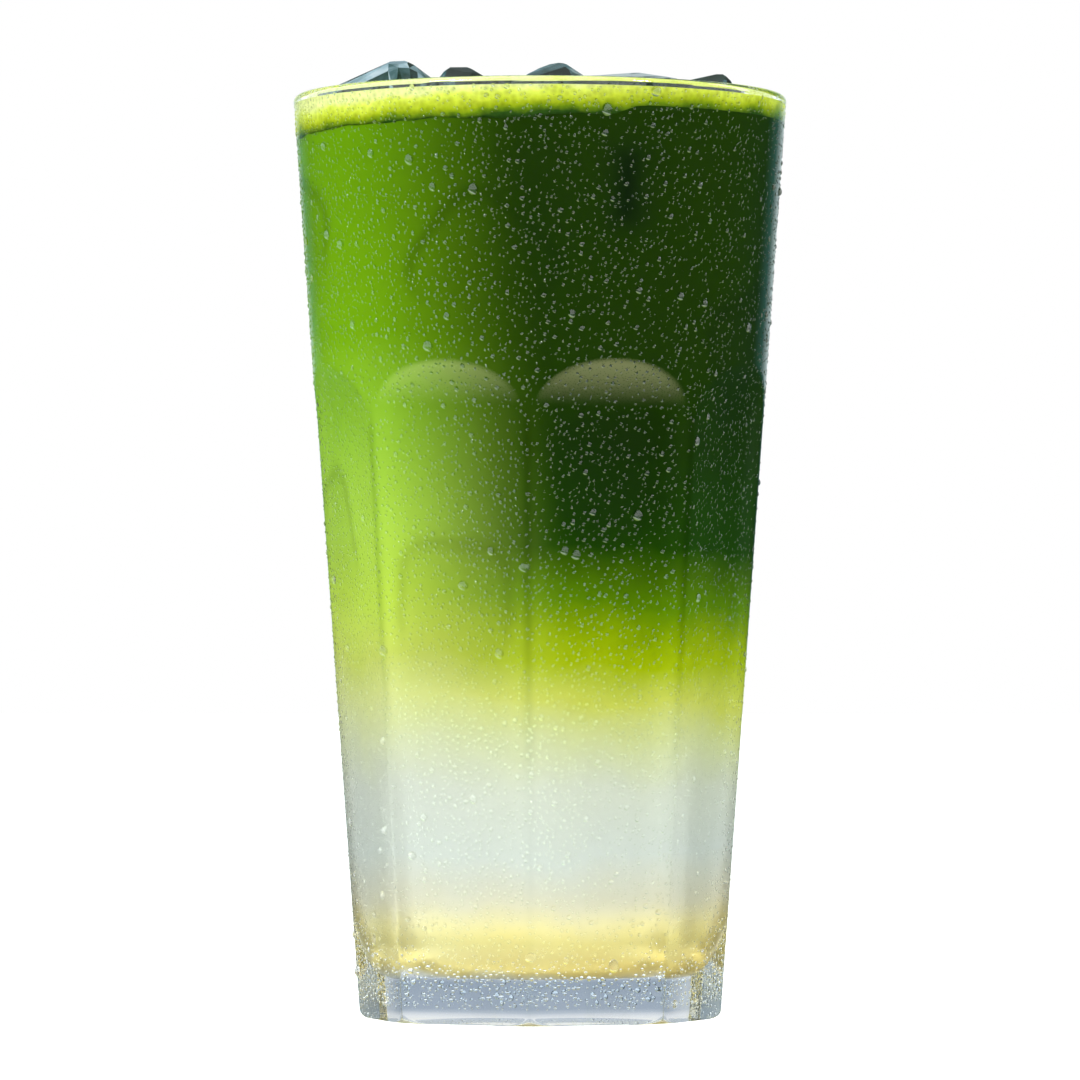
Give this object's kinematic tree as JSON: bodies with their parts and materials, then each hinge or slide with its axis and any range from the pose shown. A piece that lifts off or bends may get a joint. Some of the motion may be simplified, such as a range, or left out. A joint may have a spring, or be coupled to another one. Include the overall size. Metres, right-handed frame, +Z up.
{
  "type": "iced matcha latte",
  "caption": "Iced matcha drink in a tall panelled glass tumbler, layered from yellow syrup through a pale layer to green matcha, with froth and ice cubes at the brim.",
  "frame": {"origin": "on the table under the middle of the tumbler's foot", "axes": "+Z up the tumbler's axis; -Y is the side that the picture shows, where a ridge between two panels faces -Y; +X to the right of that side"},
  "size_m": [0.075, 0.075, 0.1473],
  "materials": {
    "clear_glass": "clear pressed glass with fine condensation outside",
    "syrup": "clear yellow syrup",
    "pale_drink": "hazy, slightly blue-white liquid",
    "matcha": "cloudy green liquid",
    "froth": "fine yellow-green bubbles",
    "ice": "half-melted clear ice with a cloudy core"
  },
  "bodies": {
    "root": {"glass": "clear_glass", "syrup_layer": "syrup", "pale_layer": "pale_drink", "matcha_layer": "matcha", "froth": "froth", "ice_left": "ice", "ice_front_left": "ice", "ice_back": "ice", "ice_front_right": "ice", "ice_right": "ice"}
  },
  "joints": []
}
